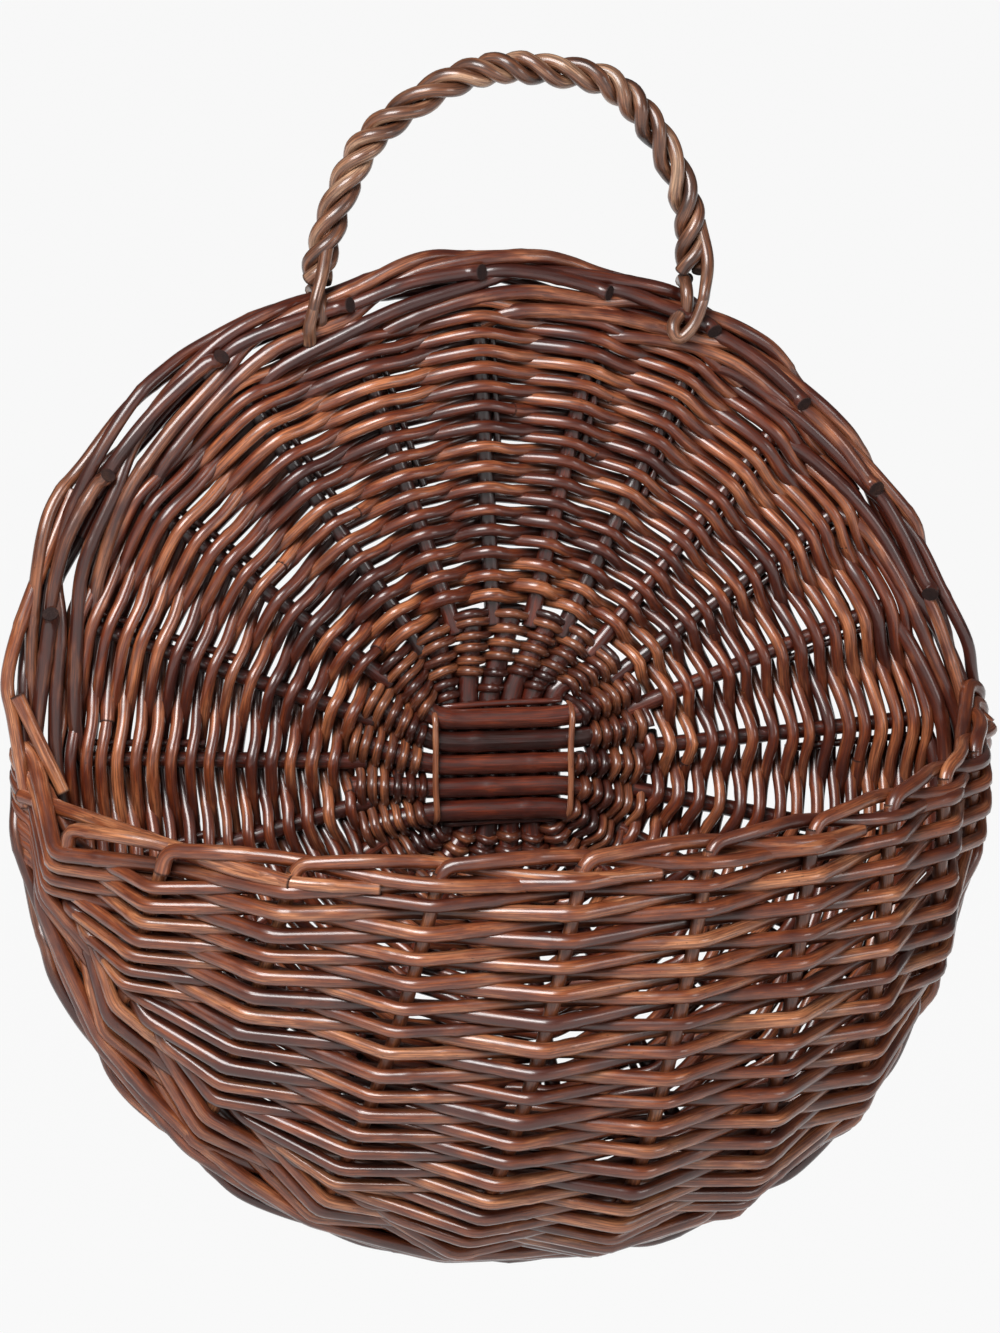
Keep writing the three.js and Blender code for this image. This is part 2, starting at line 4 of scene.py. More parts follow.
import bpy
import numpy as np
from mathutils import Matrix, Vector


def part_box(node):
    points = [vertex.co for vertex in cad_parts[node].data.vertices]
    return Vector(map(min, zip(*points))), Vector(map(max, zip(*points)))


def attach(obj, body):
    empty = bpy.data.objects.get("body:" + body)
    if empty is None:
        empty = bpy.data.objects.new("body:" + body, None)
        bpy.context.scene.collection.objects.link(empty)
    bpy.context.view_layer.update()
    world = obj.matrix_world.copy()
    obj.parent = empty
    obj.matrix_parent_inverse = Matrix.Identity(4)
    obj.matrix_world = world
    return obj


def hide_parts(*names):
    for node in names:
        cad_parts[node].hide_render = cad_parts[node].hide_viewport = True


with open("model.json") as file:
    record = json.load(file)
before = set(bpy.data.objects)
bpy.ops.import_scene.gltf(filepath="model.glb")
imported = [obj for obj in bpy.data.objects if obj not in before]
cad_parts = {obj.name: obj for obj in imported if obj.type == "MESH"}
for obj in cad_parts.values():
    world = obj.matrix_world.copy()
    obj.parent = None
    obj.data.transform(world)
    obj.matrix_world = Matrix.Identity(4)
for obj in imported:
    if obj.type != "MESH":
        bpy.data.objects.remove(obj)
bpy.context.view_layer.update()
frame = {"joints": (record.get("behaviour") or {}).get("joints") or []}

# Base sticks: five thick willow sticks laid across the front of six upright ones and bound
# together where they cross. Their ends are spread like the spokes of a wheel, and each
# runs out beside the foot of a stake.
mm = 0.001
tau = 2 * math.pi
chance = np.random.default_rng(7)

rim_low, rim_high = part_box("rim_border_outer")
panel_centre = np.array((0, 0, (rim_low.z + rim_high.z) / 2))
panel_half_width, panel_half_height = 150 * mm, 153.5 * mm
stretch = panel_half_height / panel_half_width
swells = [((103, 126, 148, 172), 0.058), ((2, 18, 44, 63), -0.028), ((72, 92, 100, 116), 0.028),
          ((276, 294, 318, 336), 0.034)]


def eased(value, low, high):
    """0 below one value, 1 above the other and smooth in between."""
    share = min(max((value - low) / (high - low), 0), 1)
    return share * share * (3 - 2 * share)


def standing(degrees, start, full, leave, end):
    """How far an angle lies inside a stretch of the rim: 0 outside it, 1 in its middle part."""
    return eased(degrees % 360, start, full) - eased(degrees % 360, leave, end)


def on_panel(radius, degrees, depth=0.0):
    """A point by its distance and angle from the panel's middle; depth is towards the wall.
    The rim stands out at its left shoulder, its crown and its lower right, and falls in at its
    right shoulder."""
    angle = math.radians(degrees)
    swell = sum(share * standing(degrees, *range_degrees) for range_degrees, share in swells)
    reach = radius * (1 + swell * (radius / panel_half_width) ** 2)
    flat = np.array((reach * math.cos(angle), 0, stretch * reach * math.sin(angle)))
    return panel_centre + flat + np.array((0, depth, 0))


def rounded(points, reach, steps=3):
    """A route through corner points, each inner corner eased over a reach on both sides. What
    follows a point's three coordinates, such as how fully lit the rod is painted there, is eased
    too."""
    points = np.asarray(points, float)
    reaches = np.broadcast_to(reach, len(points))
    route = [points[0]]
    for before, corner, after, ease in zip(points, points[1:], points[2:], reaches[1:]):
        back, ahead = before - corner, after - corner
        start = corner + back * min(ease / np.linalg.norm(back[:3]), 0.5)
        stop = corner + ahead * min(ease / np.linalg.norm(ahead[:3]), 0.5)
        for share in np.linspace(0, 1, steps + 1):
            near = start * (1 - share) + corner * share
            far = corner * (1 - share) + stop * share
            route.append(near * (1 - share) + far * share)
    route.append(points[-1])
    return np.array(route)


def smooth(points, steps=6):
    """A flowing route that passes through every given point."""
    points = np.asarray(points, float)
    before, after = 2 * points[0] - points[1], 2 * points[-1] - points[-2]
    full = np.concatenate([[before], points, [after]])
    route = []
    for a, b, c, d in zip(full, full[1:], full[2:], full[3:]):
        for share in np.arange(steps) / steps:
            bend = (2 * a - 5 * b + 4 * c - d) * share ** 2
            twist = (3 * b - a - 3 * c + d) * share ** 3
            route.append((2 * b + (c - a) * share + bend + twist) / 2)
    route.append(points[-1])
    return np.array(route)


class Wire:
    """One socket of a node tree. Sums on it add their own Math nodes."""

    def __init__(self, tree, socket):
        self.tree = tree
        self.socket = socket

    def math(self, operation, *others):
        inputs = dict(enumerate((self,) + others))
        return self.tree.add("ShaderNodeMath", {"operation": operation}, inputs)

    def __add__(self, other):
        return self.math("ADD", other)

    def __sub__(self, other):
        return self.math("SUBTRACT", other)

    def __mul__(self, other):
        return self.math("MULTIPLY", other)

    def __truediv__(self, other):
        return self.math("DIVIDE", other)

    def __pow__(self, other):
        return self.math("POWER", other)

    def __radd__(self, other):
        return self + other

    def __rmul__(self, other):
        return self * other

    def __rsub__(self, other):
        return self * -1 + other

    def between(self, low, high):
        """0 below one value, 1 above the other and smooth in between."""
        inputs = {"Value": self, "From Min": low, "From Max": high}
        return self.tree.add("ShaderNodeMapRange", {"interpolation_type": "SMOOTHSTEP"}, inputs)


class Nodes:
    """A node tree that is written one node at a time."""

    def __init__(self, tree):
        self.tree = tree
        self.tree.nodes.clear()

    def add(self, kind, settings=None, inputs=None, output=0):
        node = self.tree.nodes.new(kind)
        for name, value in (settings or {}).items():
            setattr(node, name, value)
        for name, value in (inputs or {}).items():
            socket = node.inputs[name]
            if isinstance(value, Wire):
                self.tree.links.new(value.socket, socket)
            else:
                socket.default_value = value
        shown = [socket for socket in node.outputs if socket.enabled]
        if not shown:
            return node
        return Wire(self, node.outputs[output] if isinstance(output, str) else shown[output])

    def mix(self, factor, first, second):
        settings = {"data_type": "RGBA", "clamp_factor": True}
        return self.add("ShaderNodeMix", settings, {0: factor, 6: first, 7: second})


def rod_tree():
    """Willow rods along the edges of a mesh, with their taper, their uneven thickness and
    the swellings where buds were. Cut ends are flat."""
    group = bpy.data.node_groups.new("willow_rods", "GeometryNodeTree")
    face = group.interface
    face.new_socket("Centre lines", in_out="INPUT", socket_type="NodeSocketGeometry")
    for name, kind in (("Sides", "Int"), ("Step", "Float"), ("Unevenness", "Float"),
                       ("Bud height", "Float"), ("Bud spacing", "Float"), ("Seed", "Float"),
                       ("Willow", "Material")):
        face.new_socket(name, in_out="INPUT", socket_type="NodeSocket" + kind)
    face.new_socket("Rods", in_out="OUTPUT", socket_type="NodeSocketGeometry")
    t = Nodes(group)
    asked = t.tree.nodes.new("NodeGroupInput")

    def given(name):
        return Wire(t, asked.outputs[name])

    def stored(name):
        return t.add("GeometryNodeInputNamedAttribute", {}, {"Name": name})

    def store(geometry, name, value, kind="FLOAT"):
        inputs = {"Geometry": geometry, "Name": name, "Value": value}
        return t.add("GeometryNodeStoreNamedAttribute", {"data_type": kind}, inputs)

    lines = t.add("GeometryNodeMeshToCurve", {}, {"Mesh": given("Centre lines")})
    lines = t.add("GeometryNodeResampleCurve", {"mode": "LENGTH"},
                  {"Curve": lines, "Length": given("Step")})
    length = t.add("GeometryNodeSplineParameter", output="Length")
    whole = t.add("GeometryNodeSplineLength", output="Length")
    lines = store(lines, "along", length)
    lines = store(lines, "from_end", length.math("MINIMUM", whole - length))
    lot = stored("tint") * given("Seed")
    place = stored("along") / given("Bud spacing") + lot
    bud_half_length = 2.5 * mm
    bud = 1 - (place.math("FRACT") * given("Bud spacing") / bud_half_length - 1).math("ABSOLUTE")
    bud = bud.between(0, 1) * given("Bud height")
    where = t.add("ShaderNodeCombineXYZ", {}, {"X": place, "Y": lot})
    wave = t.add("ShaderNodeTexNoise", {}, {"Vector": where, "Scale": 2.2, "Detail": 2})
    scale = stored("thickness") / 2 * (1 + (wave - 0.5) * given("Unevenness") + bud)
    lines = store(lines, "half", scale)
    inputs = {"Resolution": given("Sides"), "Radius": 1}
    ring = t.add("GeometryNodeCurvePrimitiveCircle", {}, inputs)
    spot = t.add("GeometryNodeInputPosition")
    ring = store(ring, "round", spot, "FLOAT_VECTOR")
    inputs = {"Curve": lines, "Profile Curve": ring, "Scale": stored("half"), "Fill Caps": True}
    rods = t.add("GeometryNodeCurveToMesh", {}, inputs)
    corners = t.add("GeometryNodeInputMeshFaceNeighbors", output="Vertex Count")
    capped = corners.math("GREATER_THAN", 4.5)
    rods = t.add("GeometryNodeSetShadeSmooth", {}, {"Geometry": rods, "Shade Smooth": 1 - capped})
    rods = t.add("GeometryNodeRealizeInstances", {}, {"Geometry": rods})
    rods = t.add("GeometryNodeSetMaterial", {}, {"Geometry": rods, "Material": given("Willow")})
    result = t.tree.nodes.new("NodeGroupOutput")
    t.tree.links.new(rods.socket, result.inputs[0])
    return group


willow_rods = rod_tree()


def linked(name, data):
    """A new object in the scene, at the origin."""
    made = bpy.data.objects.new(name, data)
    bpy.context.scene.collection.objects.link(made)
    return made


def rod(points, thickness, tip=None, tint=None):
    """A rod to be made along points, thinning from its butt to its tip. A fourth number of a
    point says how fully lit the rod is painted there: below 1 it gets painted shade, darker where
    it lies deep in the weaving."""
    points = np.asarray(points)
    thick = np.linspace(thickness, thickness if tip is None else tip, len(points))
    bare = points[:, 3] if points.shape[1] > 3 else np.ones(len(points))
    tint = chance.random() if tint is None else tint
    return {"points": points[:, :3], "thickness": thick, "bare": bare, "tint": tint}


def rod_piece(name, rods, material, body, replaced, sides=8, step=2.0 * mm, uneven=0.12,
              bud_height=0.1, bud_spacing=41 * mm):
    """One piece of like rods, made by the tree and kept as a plain mesh."""
    points, edges, thickness, bare, tint = [], [], [], [], []
    for one in rods:
        first = len(points)
        points += [tuple(point) for point in one["points"]]
        edges += [(i, i + 1) for i in range(first, len(points) - 1)]
        thickness += list(one["thickness"])
        bare += list(one["bare"])
        tint += [one["tint"]] * len(one["points"])
    lines = bpy.data.meshes.new(name + "_lines")
    lines.from_pydata(points, edges, [])
    for label, values in (("thickness", thickness), ("bare", bare), ("tint", tint)):
        lines.attributes.new(label, "FLOAT", "POINT").data.foreach_set("value", values)
    source = linked(name + "_lines", lines)
    modifier = source.modifiers.new("rods", "NODES")
    modifier.node_group = willow_rods
    wanted = {"Sides": sides, "Step": step, "Unevenness": uneven, "Bud height": bud_height,
              "Bud spacing": bud_spacing, "Seed": 31.7, "Willow": material}
    for socket in willow_rods.interface.items_tree:
        if socket.name in wanted:
            modifier[socket.identifier] = wanted[socket.name]
    source.update_tag()
    shown = source.evaluated_get(bpy.context.evaluated_depsgraph_get())
    made = bpy.data.meshes.new_from_object(shown)
    made.name = name
    piece = linked(name, made)
    source.modifiers.remove(modifier)
    bpy.data.objects.remove(source)
    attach(piece, body)
    if replaced:
        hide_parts(*replaced)
    return piece


def colour(red, green, blue):
    """A colour from the numbers of a colour chart."""
    parts = []
    for part in (red / 255, green / 255, blue / 255):
        parts.append(part / 12.92 if part < 0.04 else ((part + 0.055) / 1.055) ** 2.4)
    return (*parts, 1)


def willow(name, dark, middle, light, gloss=0.3, variety=1.0):
    """Peeled willow, stained and varnished: streaks along the fibres, patches where the stain
    took more or less, rods of different tone, dark cut ends, and painted shade where a rod lies
    deep in the weaving."""
    material = bpy.data.materials.new(name)
    material.use_nodes = True
    t = Nodes(material.node_tree)

    def stored(attribute, output="Fac"):
        return t.add("ShaderNodeAttribute", {"attribute_name": attribute}, output=output)

    def noise(x, y, z, detail=3.0):
        vector = t.add("ShaderNodeCombineXYZ", {}, {"X": x, "Y": y, "Z": z})
        return t.add("ShaderNodeTexNoise", {}, {"Vector": vector, "Scale": 1, "Detail": detail})

    tint, along, half, bare = stored("tint"), stored("along"), stored("half"), stored("bare")
    across = t.add("ShaderNodeSeparateXYZ", {}, {0: stored("round", "Vector")}, output="X")
    out = t.add("ShaderNodeSeparateXYZ", {}, {0: stored("round", "Vector")}, output="Y")
    lot = tint * 83

    def grain(length, width, detail=3.0, aside=0.0):
        """Noise in marks of a length along the rod and a width across it."""
        x = along / length + lot
        return noise(x, across * half / width + aside, out * half / width, detail)

    fibre = grain(10 * mm, 0.45 * mm, 5)
    patch = grain(14 * mm, 3 * mm, aside=lot)
    tone = noise(along / (60 * mm) + lot, lot, 0, 2)
    level = (patch - 0.5) * 1.5 + (tint - 0.5) * 0.55 * variety + (tone - 0.5) * 0.9 + 0.5
    body = t.mix(level.between(0.05, 0.6), dark, middle)
    body = t.mix(level.between(0.45, 1.1), body, light)
    streak = fibre.between(0.36, 0.68)
    body = t.mix((1 - streak) * 0.7, body, dark)
    pore = grain(1.6 * mm, 0.5 * mm, 2)
    speck = pore.between(0.66, 0.74)
    # Near-black for the dark specks, the cut ends and the painted shade.
    mark_and_shade_black = colour(24, 12, 10)
    body = t.mix(speck * 0.6, body, mark_and_shade_black)
    # Painted shade: the colour is mixed towards near-black where the rod lies deep in the weaving,
    # behind stakes, and at the border's left side.
    body = t.mix((1 - bare.between(0, 0.75)) * 0.55, body, mark_and_shade_black)
    cut = 1 - stored("from_end").between(0.1 * mm, 0.9 * mm)
    body = t.mix(cut * 0.85, body, mark_and_shade_black)
    bump = t.add("ShaderNodeBump", {}, {"Height": fibre * 0.6 + patch * 0.4, "Strength": 0.5,
                                        "Distance": 0.35 * mm})
    rough = gloss + (1 - streak) * 0.2 + cut * 0.5
    inputs = {"Base Color": body, "Roughness": rough, "Normal": bump, "IOR": 1.5,
              "Specular IOR Level": 0.4, "Coat Weight": (1 - cut) * 0.75, "Coat Roughness": 0.2}
    shader = t.add("ShaderNodeBsdfPrincipled", {}, inputs)
    t.add("ShaderNodeOutputMaterial", {}, {"Surface": shader})
    return material


stick_width = 6.3 * mm
across_pitch = 6.9 * mm
upright_pitch = 6.3 * mm
slath_reach = 21.0 * mm
stick_layer = 2.9 * mm
stick_end = 46 * mm
stick_ease, halfway_share = 9 * mm, 0.7
stake_start = 41 * mm
stick_turn = 6.9
upper_spokes = [4.1, 20.1, 34.9, 49, 63.4, 77.2, 92.9, 109, 125, 143.5, 160.5, 177.8]
first_pocket_spoke = 194.7
pocket_spoke_step = 16.95
pocket_stakes = 10
spokes = upper_spokes + [first_pocket_spoke + i * pocket_spoke_step for i in range(pocket_stakes)]


def stick_arm(spoke, near, layer):
    """Half of a stick, from the crossing out to its end beside a stake."""
    inner = on_panel(stake_start, spokes[spoke] - stick_turn)
    outer = on_panel(stick_end, spokes[spoke] - stick_turn)
    halfway = (near + inner) / 2 + np.array((0, layer * halfway_share, 0))
    return [near + np.array((0, layer, 0)), halfway, inner, outer]


arms = {}
across_sticks, upright_sticks = [], []
for i, (right, left) in enumerate(zip([2, 1, 0, 21, 20], [9, 10, 11, 12, 13])):
    height = across_pitch * (2 - i)
    for spoke, side in ((right, 1), (left, -1)):
        near = panel_centre + np.array((side * slath_reach, 0, height))
        arms[spoke] = stick_arm(spoke, near, -stick_layer)
    route = rounded(arms[left][::-1] + arms[right], stick_ease, 5)
    across_sticks.append(rod(route, stick_width * chance.uniform(0.96, 1.03)))
for i, (top, bottom) in enumerate(zip([8, 7, 6, 5, 4, 3], [14, 15, 16, 17, 18, 19])):
    place = upright_pitch * (i - 2.5)
    for spoke, side in ((top, 1), (bottom, -1)):
        near = panel_centre + np.array((place, 0, side * slath_reach))
        arms[spoke] = stick_arm(spoke, near, stick_layer)
    route = rounded(arms[bottom][::-1] + arms[top], stick_ease, 5)
    upright_sticks.append(rod(route, stick_width * 1.04))

stick_willow = willow("stick_willow", colour(36, 10, 5), colour(78, 25, 13), colour(118, 52, 31))
rod_piece("base_sticks_across", across_sticks, stick_willow, "basket",
          [f"base_stick_across_{i}" for i in range(1, 6)], sides=14, step=1.6 * mm)
rod_piece("base_sticks_upright", upright_sticks, stick_willow, "basket",
          [f"base_stick_upright_{i}" for i in range(1, 7)], sides=14, step=1.6 * mm)

# Slath binding: one thin rod wound round the crossing. It lies over the five sticks at the
# sides, where it is scraped pale, and over the six at the top and bottom, and dips behind
# the outer sticks at the corners.
binding_width = 1.9 * mm
binding_ease, binding_bow = 2.5 * mm, 0.35 * mm
side_x = slath_reach - 0.4 * mm
side_z = 2 * across_pitch + stick_width / 2 + 1.0 * mm
over_across = -stick_layer - (stick_width + binding_width) / 2
over_upright = stick_layer - (stick_width + binding_width) / 2


def binding_part(corners, depth):
    """A straight part of the binding, with its ends dipping in between the sticks."""
    first, last = [panel_centre + np.array((x * side_x, 0, z * side_z)) for x, z in corners]
    route = [first]
    for share in (0.07, 0.35, 0.65, 0.93):
        point = first + (last - first) * share
        bow = binding_bow * math.sin(math.pi * share)
        route.append(point + np.array((bow * chance.normal(0, 1), depth, bow)))
    route = rounded(route + [last], binding_ease)
    return rod(route, binding_width, tint=chance.uniform(0.4, 0.7))


side_parts = [binding_part([(-1.02, 0.99), (-0.98, -1.0)], over_across),
              binding_part([(1.02, 1.0), (0.97, -0.99)], over_across)]
end_parts = [binding_part([(-0.86, 0.97), (0.9, 1.02)], over_upright),
             binding_part([(-0.84, -1.02), (0.86, -0.98)], over_upright)]
binding_willow = willow("binding_willow", colour(92, 46, 28), colour(146, 88, 58),
                        colour(186, 128, 92))
rod_piece("slath_binding_sides", side_parts, binding_willow, "basket",
          ["slath_binding"], sides=10, step=1.2 * mm)
rod_piece("slath_binding_ends", end_parts, stick_willow, "basket", [], sides=10,
          step=1.2 * mm)

# Inner weaving: two fine rods paired round the spread sticks. At each stick one passes in
# front and the other behind, and they change sides in between.
def spoke_place(count):
    """The spoke at a count of spokes, which runs clockwise."""
    return -count % len(spokes)


def arm_point(spoke, radius):
    """Where a stick's arm lies at a distance from the panel's middle."""
    arm = arms[spoke]
    reach = []
    for point in arm:
        flat = point - panel_centre
        reach.append(math.hypot(flat[0], flat[2] / stretch))
    return np.array([np.interp(radius, reach, [point[k] for point in arm]) for k in range(3)])


def radial(point):
    """The direction out from the panel's middle."""
    flat = point - panel_centre
    flat[1] = 0
    return flat / np.linalg.norm(flat)


# How a paired rod passes in front of a stake and behind one, as shares: of the way to the next
# stake, of its shift outwards, and of its depth. In front it comes in nearly straight, kinks at
# the stake and leaves steeply on the inner side.
front_shares = [(-0.3, 0.3, 0.5), (-0.08, 0.3, 0.95), (0.06, 0.2, 1), (0.3, -0.5, 0.45)]
rear_shares = [(-0.3, -0.35, -0.7), (0, -0.3, -0.85), (0.3, -0.25, -0.7)]
weaver_ease, weaver_jitter, join_lift = 3 * mm, 0.22 * mm, 0.4 * mm


def paired(point_at, radius_at, counts, phase, rod_width, stake_width, side_shift, laps_per_rod):
    """One of a pair of weavers, as rods of a few laps each that join behind a stake. The
    second weaver lies half a lap further out."""
    route, rods = [], []
    lead = phase * len(spokes) // 2
    depth = (stake_width + rod_width) / 2
    length = laps_per_rod * len(spokes) * chance.uniform(0.3, 1)
    for count in range(*counts):
        in_front = (count + phase) % 2 == 0
        here = point_at(spoke_place(count), radius_at(count + lead))
        jitter = chance.normal(0, weaver_jitter)
        for ahead, shift, rise in front_shares if in_front else rear_shares:
            other = count + (1 if ahead > 0 else -1)
            there = point_at(spoke_place(other), radius_at(other + lead))
            point = here + (there - here) * abs(ahead)
            point += radial(point) * (shift * side_shift + jitter)
            # The fourth number is painted shade: parts of the rod that pass behind a stake are
            # painted darker.
            route.append((*(point - (0, rise * depth, 0)), 0.5 + rise / 2))
        length -= 1
        if (length < 0 and not in_front) or count + 1 == counts[1]:
            width = rod_width * chance.uniform(0.92, 1.1)
            rods.append(rod(rounded(route[:-1], weaver_ease, 2), width, width * 0.86))
            route = [(x, y + join_lift, z, bare) for x, y, z, bare in route[-4:]]
            length = laps_per_rod * len(spokes) * chance.uniform(0.8, 1.2)
    return rods


inner_rod = 3.0 * mm
inner_end, inner_rows = 46 * mm, 6
slath_half_width, slath_half_height, slath_half_drop = 23 * mm, 19.5 * mm, 22.6 * mm


def inner_radius(count):
    """The first row hugs the crossing's oblong, and the rows widen to a circle."""
    share = count / (inner_rows * len(spokes))
    angle = math.radians(spokes[spoke_place(count)])
    half_height = slath_half_height if angle < math.pi else slath_half_drop
    wide, high = abs(math.cos(angle)) / slath_half_width, abs(math.sin(angle)) / half_height
    oblong = (wide ** 5 + (high * stretch) ** 5) ** (-1 / 5)
    return oblong + (inner_end - oblong) * share


inner_weave = []
for phase in (0, 1):
    inner_weave += paired(arm_point, inner_radius, (0, inner_rows * len(spokes)), phase, inner_rod,
                          stick_width, 1.1 * mm, 2)
inner_willow = willow("inner_willow", colour(42, 12, 6), colour(82, 33, 17), colour(166, 100, 64))
rod_piece("inner_weave_rods", inner_weave, inner_willow, "basket", ["weave_inner"],
          step=1.3 * mm, uneven=0.16)

# Side stakes: straight rods pushed in beside the base sticks, one for each spoke of the upper
# half. They carry the outer weaving and run out under the border.
stake_width = 5.0 * mm
stake_end = 128 * mm
side_stakes = []
for degrees in upper_spokes:
    route = [on_panel(radius, degrees) for radius in np.linspace(stake_start, stake_end, 9)]
    side_stakes.append(rod(np.array(route), stake_width * 1.04, stake_width * 0.92))
rod_piece("side_stakes", side_stakes, stick_willow, "basket",
          [f"panel_stake_{i:02d}" for i in range(1, 13)], sides=12)

# Bye-stakes: thin rods pushed in beside the stakes, where the gaps between them grow wide. They
# stiffen the outer rows and end under the border.
bye_width = 2.6 * mm
bye_depth = 0.6 * mm
bye_stakes = []
for spoke, degrees in enumerate(spokes):
    start, stop = chance.uniform(84, 92) * mm, chance.uniform(127, 130) * mm
    beside = (stake_width + bye_width) / 2 + chance.uniform(0, 1.2) * mm
    route = []
    for radius in np.linspace(start, stop, 7):
        route.append(on_panel(radius, degrees - math.degrees(beside / radius), bye_depth))
    bye_stakes.append(rod(np.array(route), bye_width, bye_width * 0.8))
rod_piece("bye_stakes", bye_stakes, stick_willow, "basket", [])

# Outer weaving: thicker rods paired over the stakes in a spiral, closer together towards the
# border, with slim gaps that show the wall.
outer_rod = 4.05 * mm
outer_start, outer_end, outer_rows = 45 * mm, 135.5 * mm, 16
closing_share = 0.14


def outer_radius(count):
    """The rows' spiral, which closes up towards the border."""
    share = count / (outer_rows * len(spokes))
    closing = share * (1 + closing_share) - closing_share * share ** 3
    return outer_start + (outer_end - outer_start) * closing


def stake_point(spoke, radius):
    """Where a stake lies at a distance from the panel's middle."""
    return on_panel(radius, spokes[spoke])


panel_willow = willow("panel_willow", colour(56, 17, 8), colour(112, 48, 22), colour(192, 118, 76))
outer_weave = []
for phase in (0, 1):
    outer_weave += paired(stake_point, outer_radius, (0, outer_rows * len(spokes)), phase,
                          outer_rod, stake_width, 1.7 * mm, 1.4)
rod_piece("outer_weave_rods", outer_weave, panel_willow, "basket",
          ["weave_middle", "weave_outer", "weave_edge"], step=2.2 * mm, uneven=0.16)

# Rim border: every stake's end is turned down clockwise. It drifts outwards over the front of
# the rim for three spokes, rolls over the edge and runs back in behind. Between each two stakes
# a short thick follower fills the border's middle and shows its dark cut end.
border_rod = 4.5 * mm
border_turns = [(0, 128, 0.3), (0.3, 132.0, -3.2), (0.9, 135.0, -4.8), (1.4, 137.2, -4.8),
                (1.95, 139.2, -4.2), (2.25, 141.6, -2.2), (2.6, 144.2, -2.4), (3.05, 146.0, -3.8),
                (3.45, 147.6, -2.8), (3.7, 147.1, 0.4), (3.95, 145.9, 3.2), (4.5, 145.4, 4.2),
                (5.1, 141.5, 4.4), (6, 137, 4.4)]
follower_turns = [(-0.15, 140.4, -1.5), (0.12, 142.0, -4.6), (0.5, 142.4, -5.4),
                  (0.9, 142.2, -5.6), (0.97, 142.1, -6.4), (1.01, 142.0, -8.2)]
# Painted shade: the border is painted darker at the basket's left side, which the key lamp lights
# most.
left_painted_shade_share, left_painted_shade_degrees = 0.78, (112, 145, 205, 235)
turn_jitter, depth_jitter = 0.35, 0.2


def spoke_degrees(count):
    """The angle of a count of spokes, clockwise, with fractions in between."""
    whole = math.floor(count)
    start, stop = spokes[spoke_place(whole)], spokes[spoke_place(whole + 1)]
    stop -= 360 if stop > start else 0
    return start + (stop - start) * (count - whole)


def rim_route(spoke, turns, spread):
    """A border rod's route, by spokes ahead, distance and depth in millimetres. The border gets
    painted shade, darker, at the basket's left side."""
    route = []
    off = chance.normal(0, spread)
    for ahead, radius, depth in turns:
        reach = (radius + off + chance.normal(0, turn_jitter)) * mm
        degrees = spoke_degrees(-spoke + ahead)
        point = on_panel(reach, degrees, (depth + chance.normal(0, depth_jitter)) * mm)
        route.append((*point, 1 - left_painted_shade_share * standing(degrees, *left_painted_shade_degrees)))
    return smooth(route)


border_willow = willow("border_willow", colour(50, 15, 8), colour(92, 38, 20),
                       colour(180, 112, 76), variety=1.2)
core_rod, core_laps = 4.0 * mm, 5
core_start, core_drift, core_jitter, core_depth = 143.4, 4.8, 0.2, 0.6 * mm
core_rods = []
for lap in range(core_laps):
    route = []
    for place in np.linspace(0, 1.1, 24):
        degrees = 360 * (lap + place) / core_laps
        reach = core_start - core_drift * place + chance.normal(0, core_jitter)
        route.append(on_panel(reach * mm, degrees, core_depth))
    core_rods.append(rod(smooth(route, 3), core_rod, core_rod * 0.9))
rod_piece("rim_border_core", core_rods, stick_willow, "basket", [])
border_rods = []
for spoke in range(len(spokes)):
    width = border_rod * chance.uniform(0.9, 1.1)
    border_rods.append(rod(rim_route(spoke, border_turns, 0.55), width, width * 0.85))
    width = border_rod * chance.uniform(0.92, 1.1)
    border_rods.append(rod(rim_route(spoke, follower_turns, 0.4), width * 0.9, width * 1.05))
rod_piece("rim_border_rods", border_rods, border_willow, "basket",
          ["rim_border_rear", "rim_border_front", "rim_border_outer"], sides=12)

# Pocket stakes: the ten lower spokes turn forward through the border, run along the pocket's
# floor and rise up its front to the rim.
bend_radius = 141.05 * mm
bend_ease = 4.5 * mm
pocket_half_width = 146.5 * mm
pocket_depth = 100 * mm
pocket_end_depth = 3.9 * mm
pocket_foot_depth = 7.3 * mm
rim_left, rim_right, rim_dip = -8 * mm, 12 * mm, 17 * mm
left_power, right_power, fill_shares = 1.2, 2.3, (0.2, 0.6)
plan_power = 1.1
top_first, top_range, top_lean = 21, 140, 9


def rim_point(degrees):
    """A point of the pocket's rim, from 0 degrees at its left end to 180 at its right one."""
    angle = math.radians(degrees)
    bulge = max(math.sin(angle), 0)
    forward = pocket_end_depth + (pocket_depth - pocket_end_depth) * bulge ** plan_power
    height = rim_left + (rim_right - rim_left) * degrees / 180 - rim_dip * bulge
    return panel_centre + np.array((-pocket_half_width * math.cos(angle), -forward, height))


def pocket_point(across, up):
    """A point of the pocket's middle surface: across counts from 0 at its first stake to 1 at
    its last one, and up from 0 at its foot to 1 at its rim."""
    foot = first_pocket_spoke + (pocket_stakes - 1) * pocket_spoke_step * across
    top = top_first + top_range * across + top_lean * math.sin(math.pi * across)
    start, end = on_panel(bend_radius, foot, -pocket_foot_depth), rim_point(top)
    along, left = math.sin(math.pi / 2 * up), math.cos(math.pi / 2 * up)
    power = left_power + (right_power - left_power) * eased(across, *fill_shares)
    reach = (along ** power + max(left, 0) ** power) ** (-1 / power)
    forward, rise = reach * along, 1 - reach * left
    share = np.array((rise, forward, rise))
    return start + (end - start) * share


def pocket_out(across, up):
    """The direction out of the pocket at a point of its surface."""
    step = 0.01
    low, high = max(up - step, 0), min(up + step, 1)
    row = pocket_point(across + step, up) - pocket_point(across - step, up)
    stake = pocket_point(across, high) - pocket_point(across, low)
    out = np.cross(row, stake)
    return out / np.linalg.norm(out)


